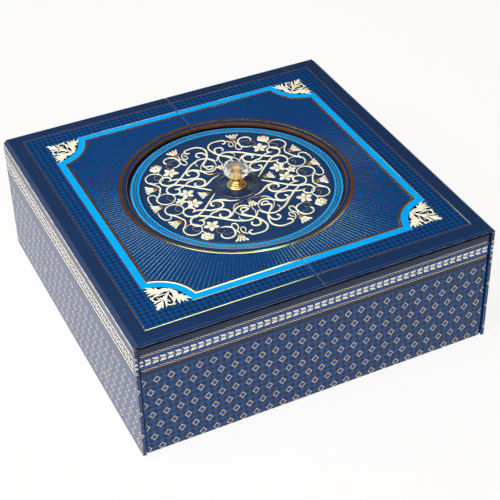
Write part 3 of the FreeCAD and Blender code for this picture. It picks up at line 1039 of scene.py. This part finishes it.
bands, lattice, glints = (Relief(on_lid) for _ in range(3))
for relief, rings in ((lattice, RIM_RINGS), (bands, CENTRE_RINGS)):
    for radius, width in rings:
        ribbon(relief, arc(0, 0, radius, 0, 360, RING_POINTS + 1)[:-1], width, LID_RING_H, TENT, True)
angles = full_turn(PLAITS * PLAIT_POINTS)
for phase in (0, math.pi):
    sway = PLAIT_R + PLAIT_SWAY * np.sin(angles * PLAITS / 2 + phase)
    ribbon(lattice, around_middle(sway, angles), *PLAIT_LINE, TENT, True)
for a in full_turn(GLINTS):
    ribbon(glints, spoke(a, GLINT_IN, GLINT_OUT), *GLINT, TENT)
glints.make("lid_centre_rays", GLINT_FOIL, "lid")
bands.make("lid_gold_bands", DARK_FOIL, "lid")
lattice.make("lid_rim_lattice", LATTICE_FOIL, "lid")


# Walls: ropes, leaf chain and diamonds
LEAF = np.array([
    (-2.3, 2.6), (-1.0, 2.42), (0.8, 2.3), (2.0, 2.2), (2.3, 1.5),
    (2.0, 0.8), (0.6, 0.8), (-0.9, 1.0), (-1.7, 1.5),
])
ROPE_STRAND = np.array([(-2.3, 1.0), (-1.1, 0.66), (1.1, -0.66), (2.3, -1.0)])
EDGE_LEAF = np.array([(-1, 2.3), (0, 2.5), (1, 2.3), (1, 1.0), (0, 1.25), (-1, 1.0)])
# Half width and half height of the diamonds
DIAMOND = (2.55, 2.8)


def wall_print(name, place, half, first, odd, foil, line, profile):
    """Leaf chain, ropes and rows of diamonds on a wall that reaches half to both sides of its middle."""
    chain, ropes, diamonds, veins = (Relief(place) for _ in range(4))
    limit = half - PRINT_INSET
    for lean in (1, -1):
        for k in range(int(half / CHAIN_PITCH) + 3):
            centre = CHAIN_MIDDLE + lean * (CHAIN_GAP / 2 + k * CHAIN_PITCH)
            if abs(centre) > half + 0.8:
                continue
            for s in (1, -1):
                leaf = LEAF * (-lean, s) + (centre, CHAIN_Z)
                leaf[:, 0] = np.clip(leaf[:, 0], -limit, limit)
                pillow(chain, leaf, np.mean(leaf, axis=0), CHAIN_H)
            if abs(centre) < half - 3.0:
                vein = [(centre + lean * 1.6, CHAIN_Z), (centre - lean * 3.2, CHAIN_Z)]
                ribbon(veins, vein, [0.55, 0.25], VEIN_H)
    pitch = CHAIN_PITCH / 2
    count = int((half - 0.6) / pitch)
    for z in (ROPE_HIGH, ROPE_LOW):
        for k in range(-count, count + 1):
            path = smooth(ROPE_STRAND + (k * pitch, z), MEDIUM)
            path = path[np.abs(path[:, 0]) < half - 0.35]
            t = np.linspace(0, 1, len(path))
            ribbon(ropes, path, 0.2 + 0.3 * np.sin(np.pi * t), ROPE_H, ROUND)
    rows = int((BAND_TOP - first - 2.0) / (2 * WALL_ROW)) + 1
    across = int(half / (2 * WALL_PITCH)) + 1
    a, b = DIAMOND
    for row in range(rows):
        z = first + 2 * WALL_ROW * row
        shift = WALL_PITCH if (row % 2 == 1) != odd else 0.0
        for k in range(-across, across + 1):
            x = 2 * WALL_PITCH * k + shift
            if abs(x) + a + 0.4 < half:
                corners = [(x + a, z), (x, z + b), (x - a, z), (x, z - b)]
                ribbon(diamonds, corners, *line, profile, True)
            elif abs(x) < half - 0.4:
                s = 1 if x < 0 else -1
                ribbon(diamonds, [(x, z + b), (x + s * a, z), (x, z - b)], *line, profile)
    chain.make(name + "_leaf_chain", CHAIN_FOIL, "case")
    veins.make(name + "_chain_veins", foil, "case")
    ropes.make(name + "_rope_lines", foil, "case")
    diamonds.make(name + "_diamonds", foil, "case")


def edge_print(name, place, odd):
    """The side panels' print where it turns onto their front and back edges."""
    bits, lines = Relief(place), Relief(place)
    inner = STRIP - PRINT_INSET
    for s in (1, -1):
        leaf = EDGE_LEAF * (inner, s) + (0, CHAIN_Z)
        pillow(bits, leaf, np.mean(leaf, axis=0), EDGE_CHAIN_H)
    for z in (ROPE_HIGH, ROPE_LOW):
        for s in (0.55, -0.55):
            ribbon(lines, [(-inner, z + s + 0.4), (inner, z + s - 0.4)], *EDGE_ROPE, ROUND)
    rows = int((BAND_TOP - SIDE_FIRST) / (2 * WALL_ROW)) + 1
    for row in range(rows):
        if (row % 2 == 1) == odd:
            z = SIDE_FIRST + 2 * WALL_ROW * row
            ribbon(lines, [(-inner, z + 2.0), (inner - 0.3, z + 0.1), (-inner, z - 2.0)], *EDGE_DIAMOND)
    bits.make(name + "_edge_chain", CHAIN_FOIL, "case")
    lines.make(name + "_edge_lines", WALL_FOIL, "case")


for sy, end in ((-1, "front"), (1, "back")):
    for sx, side in ((-1, "left"), (1, "right")):
        edge_print(side + "_" + end, on_edge(sx, sy), sx == sy)
for name, place in (("front", on_front), ("back", on_back)):
    wall_print(name, place, WALL_X, WALL_FIRST, False, WALL_FOIL, FRONT_DIAMOND, FLAT)
for name, place in (("left", on_left), ("right", on_right)):
    wall_print(name, place, SIDE_HALF, SIDE_FIRST, True, SIDE_FOIL, SIDE_DIAMOND, TENT)


# Materials of the CAD nodes
FINISH = {
    TOP_PAPER: ("left_door_wrap", "right_door_wrap"),
    FOLD_PAPER: ("left_hinge_strip", "right_hinge_strip"),
    LID_PAPER: ("lid_wrap",),
    WALL_PAPER: ("front_wrap", "back_wrap"),
    SIDE_PAPER: ("left_side_wrap", "right_side_wrap"),
    EDGE_FOIL: ("left_cutout_edging", "right_cutout_edging"),
    BRASS: ("knob_base", "knob_collar", "knob_post"),
    CRYSTAL: ("knob_crystal",),
    STEEL: ("knob_screw", "knob_washer"),
    LINING: ("left_door_liner", "right_door_liner", "lid_liner", "floor_paper", "base_paper"),
    SHADOW_LINING: ("deck_paper",),
    BOARD: (
        "base_board", "front_wall", "back_wall", "tray_left_wall", "tray_right_wall",
        "left_side_board", "right_side_board", "deck_board", "well_wall",
        "front_riser", "back_riser", "left_riser", "right_riser", "front_rest", "back_rest",
        "left_door_board", "right_door_board", "lid_board", "lid_plug",
    ),
}
for material, names in FINISH.items():
    for name in names:
        mesh = NODES[name].data
        mesh.materials.clear()
        mesh.materials.append(material)

# The crystal's bore is gilded, so that a gold heart shows through it
stone = NODES["knob_crystal"].data
stone.materials.append(GILT)
BORE_MARGIN = 1.15
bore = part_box("knob_post")[1].x * BORE_MARGIN
for face in stone.polygons:
    if all(math.hypot(*stone.vertices[k].co[:2]) < bore for k in face.vertices):
        face.material_index = 1


# Floor, light and camera
WHITE = (1, 1, 1, 1)
FLOOR_REACH = 9.0
FLOOR_Z = -0.0004
FLOOR_GREY = (0.86, 0.86, 0.87, 1)
FLOOR_GLOW = 0.88
ROOM_BROWN = srgb(122, 78, 28)


def stage_material():
    """White floor that shows as white and keeps a faint shadow."""
    material = bpy.data.materials.new("studio_floor")
    material.use_nodes = True
    s = Nodes(material.node_tree)
    s.tree.nodes.clear()
    diffuse = s.add("ShaderNodeBsdfDiffuse")
    diffuse.inputs["Color"].default_value = FLOOR_GREY
    glow = s.add("ShaderNodeEmission")
    glow.inputs["Color"].default_value = WHITE
    seen = s.rays("Is Camera Ray", "Is Transmission Ray", "Is Glossy Ray")
    mixed = s.add("ShaderNodeMixShader")
    s.feed(mixed.inputs[0], s.times(seen, FLOOR_GLOW))
    s.feed(mixed.inputs[1], diffuse.outputs[0])
    s.feed(mixed.inputs[2], glow.outputs[0])
    s.feed(s.add("ShaderNodeOutputMaterial").inputs["Surface"], mixed.outputs[0])
    return material


floor_mesh = bpy.data.meshes.new("floor")
corners = ((-1, -1), (1, -1), (1, 1), (-1, 1))
floor_points = [(sx * FLOOR_REACH, sy * FLOOR_REACH, FLOOR_Z) for sx, sy in corners]
floor_mesh.from_pydata(floor_points, [], [(0, 1, 2, 3)])
floor_mesh.materials.append(stage_material())
floor = bpy.data.objects.new("floor", floor_mesh)
bpy.context.scene.collection.objects.link(floor)

# A dim warm room above, a white backdrop low on the left, and white behind the box as the camera sees it
world = bpy.data.worlds.new("studio")
bpy.context.scene.world = world
world.use_nodes = True
room = Nodes(world.node_tree)
room.tree.nodes.clear()
direction = room.add("ShaderNodeSeparateXYZ")
room.feed(direction.inputs[0], room.add("ShaderNodeTexCoord").outputs["Generated"])
low = room.ramp(direction.outputs[2], 0.30, 0.50, 1.0, 0.0, interpolation_type="SMOOTHSTEP")
left = room.ramp(direction.outputs[0], 0.0, 0.35, 1.0, 0.0, interpolation_type="SMOOTHSTEP")
around = room.mix(room.times(low, left), ROOM_BROWN, WHITE)
seen = room.rays("Is Camera Ray", "Is Transmission Ray")
backdrop = room.add("ShaderNodeBackground")
room.feed(backdrop.inputs["Color"], room.mix(seen, around, WHITE))
room.feed(room.add("ShaderNodeOutputWorld").inputs["Surface"], backdrop.outputs[0])


def softbox(name, place, target, width, height, power, colour=(1, 1, 1)):
    data = bpy.data.lights.new(name, "AREA")
    data.shape = "RECTANGLE"
    data.size = width
    data.size_y = height
    data.energy = power
    data.color = colour
    obj = bpy.data.objects.new(name, data)
    obj.location = place
    obj.rotation_euler = (Vector(target) - Vector(place)).to_track_quat("-Z", "Y").to_euler()
    bpy.context.scene.collection.objects.link(obj)


softbox("top_softbox", (-0.60, -0.20, 1.05), (0, 0, 0.05), 0.9, 0.9, 13.4)
softbox("front_softbox", (-0.5, -1.7, 1.3), (0, 0, 0.05), 1.1, 0.9, 9.0)
# Small panels that face straight down and light the foil, as (name, x, y, width, depth, power, colour)
MINT = (0.86, 1.0, 0.90)
PANEL_Z = 1.05
PANELS = (
    ("back_panel", 0.275, 0.665, 0.35, 0.33, 1.45, MINT),
    ("far_panel", 0.34, 0.885, 0.16, 0.11, 0.24, MINT),
    ("seam_panel", 0.522, 0.99, 0.04, 0.10, 0.08, (0.24, 0.80, 1.0)),
    ("right_panel", 0.62, 0.79, 0.34, 0.11, 0.20, (1, 1, 1)),
)
for name, x, y, width, depth, power, colour in PANELS:
    softbox(name, (x, y, PANEL_Z), (x, y, 0), width, depth, power, colour)

# Camera fitted to the box's corners and printed border in the photograph, in pixels, radians and millimetres
FOCAL_PX = 1342.33
AZIMUTH = -0.438228863
ELEVATION = 0.657933664
ROLL = -0.0243015062
SHIFT_X = -8.12049
SHIFT_Y = -28.79000
DISTANCE = 1084.74327
IMAGE_PX = 500.0
SENSOR = 36.0
level = math.cos(ELEVATION)
back = Vector((math.sin(AZIMUTH) * level, -math.cos(AZIMUTH) * level, math.sin(ELEVATION)))
right = Vector((math.cos(AZIMUTH), math.sin(AZIMUTH), 0))
up = back.cross(right)
cam_x = right * math.cos(ROLL) + up * math.sin(ROLL)
cam_y = up * math.cos(ROLL) - right * math.sin(ROLL)
spot = (back * DISTANCE - cam_x * SHIFT_X - cam_y * SHIFT_Y) * MM
cam_data = bpy.data.cameras.new("camera")
cam_data.sensor_width = SENSOR
cam_data.lens = SENSOR * FOCAL_PX / IMAGE_PX
cam_data.clip_start = 0.05
cam_data.clip_end = 60.0
camera = bpy.data.objects.new("camera", cam_data)
camera.matrix_world = Matrix((
    (cam_x.x, cam_y.x, back.x, spot.x),
    (cam_x.y, cam_y.y, back.y, spot.y),
    (cam_x.z, cam_y.z, back.z, spot.z),
    (0, 0, 0, 1),
))
bpy.context.scene.collection.objects.link(camera)
bpy.context.scene.camera = camera
bpy.context.scene.view_settings.view_transform = "Standard"
